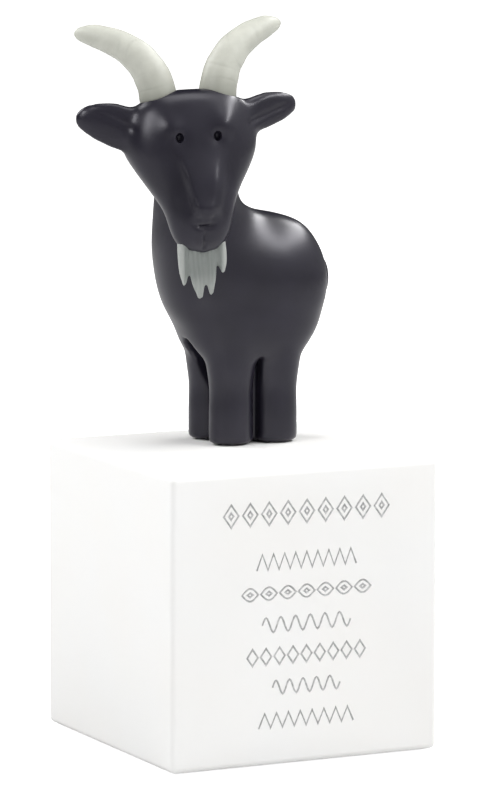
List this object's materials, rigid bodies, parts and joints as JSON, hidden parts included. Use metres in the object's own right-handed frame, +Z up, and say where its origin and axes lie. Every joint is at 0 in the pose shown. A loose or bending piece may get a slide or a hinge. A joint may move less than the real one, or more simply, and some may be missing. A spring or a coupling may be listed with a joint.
{
  "type": "goat figurine on cube plinth",
  "caption": "Smooth cast resin goat with pale horns and beard, head turned to the side, pinned on a cube plinth with an engraved front and a felt rest face.",
  "frame": {"origin": "middle of the felt rest face under the plinth", "axes": "+Z up, -Y out of the plinth's engraved front face, -X the way the goat's chest points; the goat's head is turned to look along -Y"},
  "size_m": [0.0617, 0.06, 0.1487],
  "materials": {
    "white_resin": "cast, matt white",
    "charcoal_resin": "cast, satin charcoal with a violet tint",
    "pale_resin": "cast, matt pale grey",
    "felt": "pressed off-white felt",
    "steel": "plain dowel pin"
  },
  "bodies": {
    "root": {"plinth_block": "white_resin", "base_felt": "felt", "goat_body": "charcoal_resin", "tail": "charcoal_resin", "left_horn": "pale_resin", "right_horn": "pale_resin", "beard": "pale_resin", "foot_pin_front_left": "steel", "foot_pin_front_right": "steel", "foot_pin_hind_left": "steel", "foot_pin_hind_right": "steel"}
  },
  "joints": []
}
